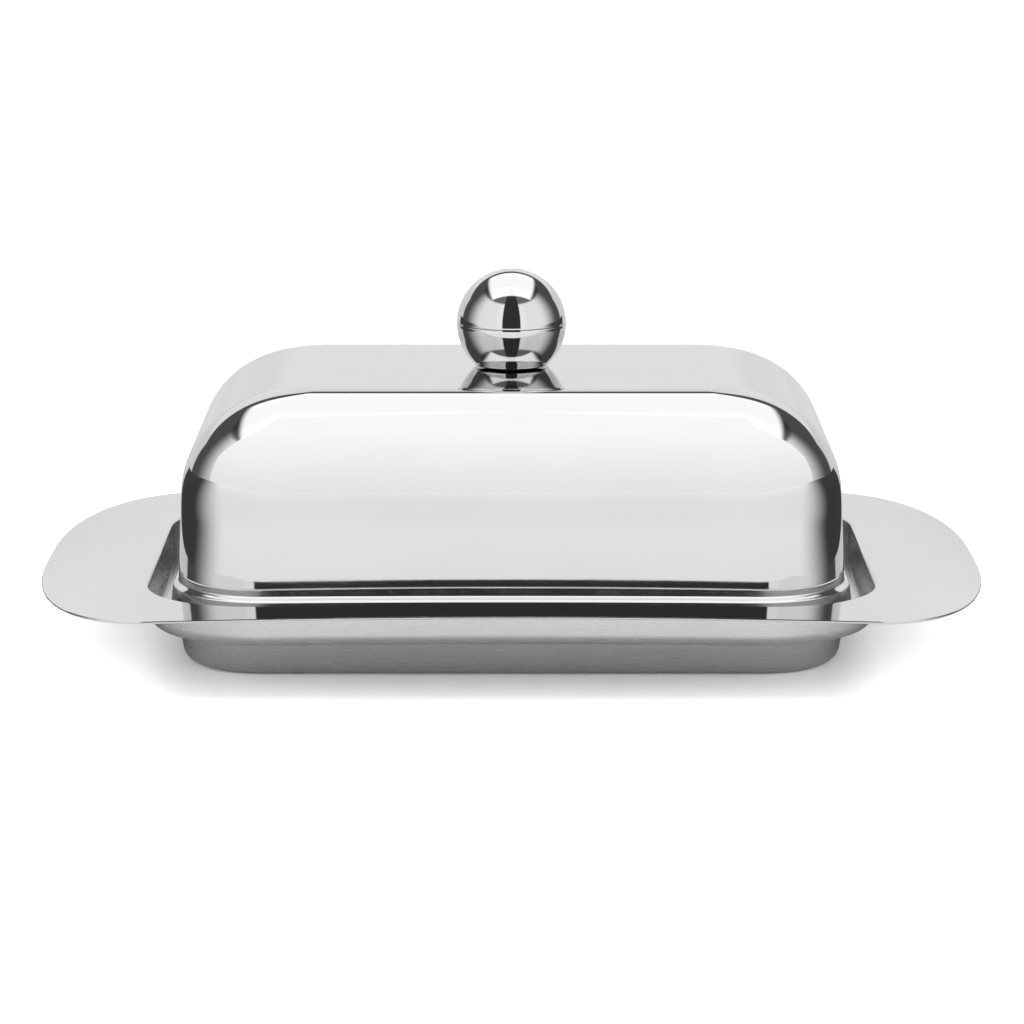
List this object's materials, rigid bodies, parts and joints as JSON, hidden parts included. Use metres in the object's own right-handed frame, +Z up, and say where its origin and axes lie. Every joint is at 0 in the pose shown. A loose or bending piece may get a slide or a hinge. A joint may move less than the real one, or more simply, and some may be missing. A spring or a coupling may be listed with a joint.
{
  "type": "butter dish",
  "caption": "Polished steel butter dish: a shallow tray with broad rounded wings and a domed rectangular lid that lifts off by a ball knob.",
  "frame": {"origin": "middle of the tray's flat base, on the surface it stands on", "axes": "+X along the dish towards one wing, +Y towards the back long side, +Z up through the knob"},
  "size_m": [0.1974, 0.1304, 0.078],
  "materials": {
    "tray_steel": "satin outside, fine polish inside",
    "lid_steel": "mirror polished",
    "knob_steel": "mirror polished",
    "fastener_steel": "plain bright"
  },
  "bodies": {
    "tray": {"tray": "tray_steel"},
    "lid": {"lid_shell": "lid_steel", "knob_upper_shell": "knob_steel", "knob_lower_shell": "knob_steel", "knob_nut": "fastener_steel", "knob_screw": "fastener_steel", "screw_washer": "fastener_steel"}
  },
  "joints": [
    {"name": "lid_lift", "type": "slide", "parent": "tray", "child": "lid", "axis": [0, 0, 1], "range_m": [0, 0.09]}
  ]
}
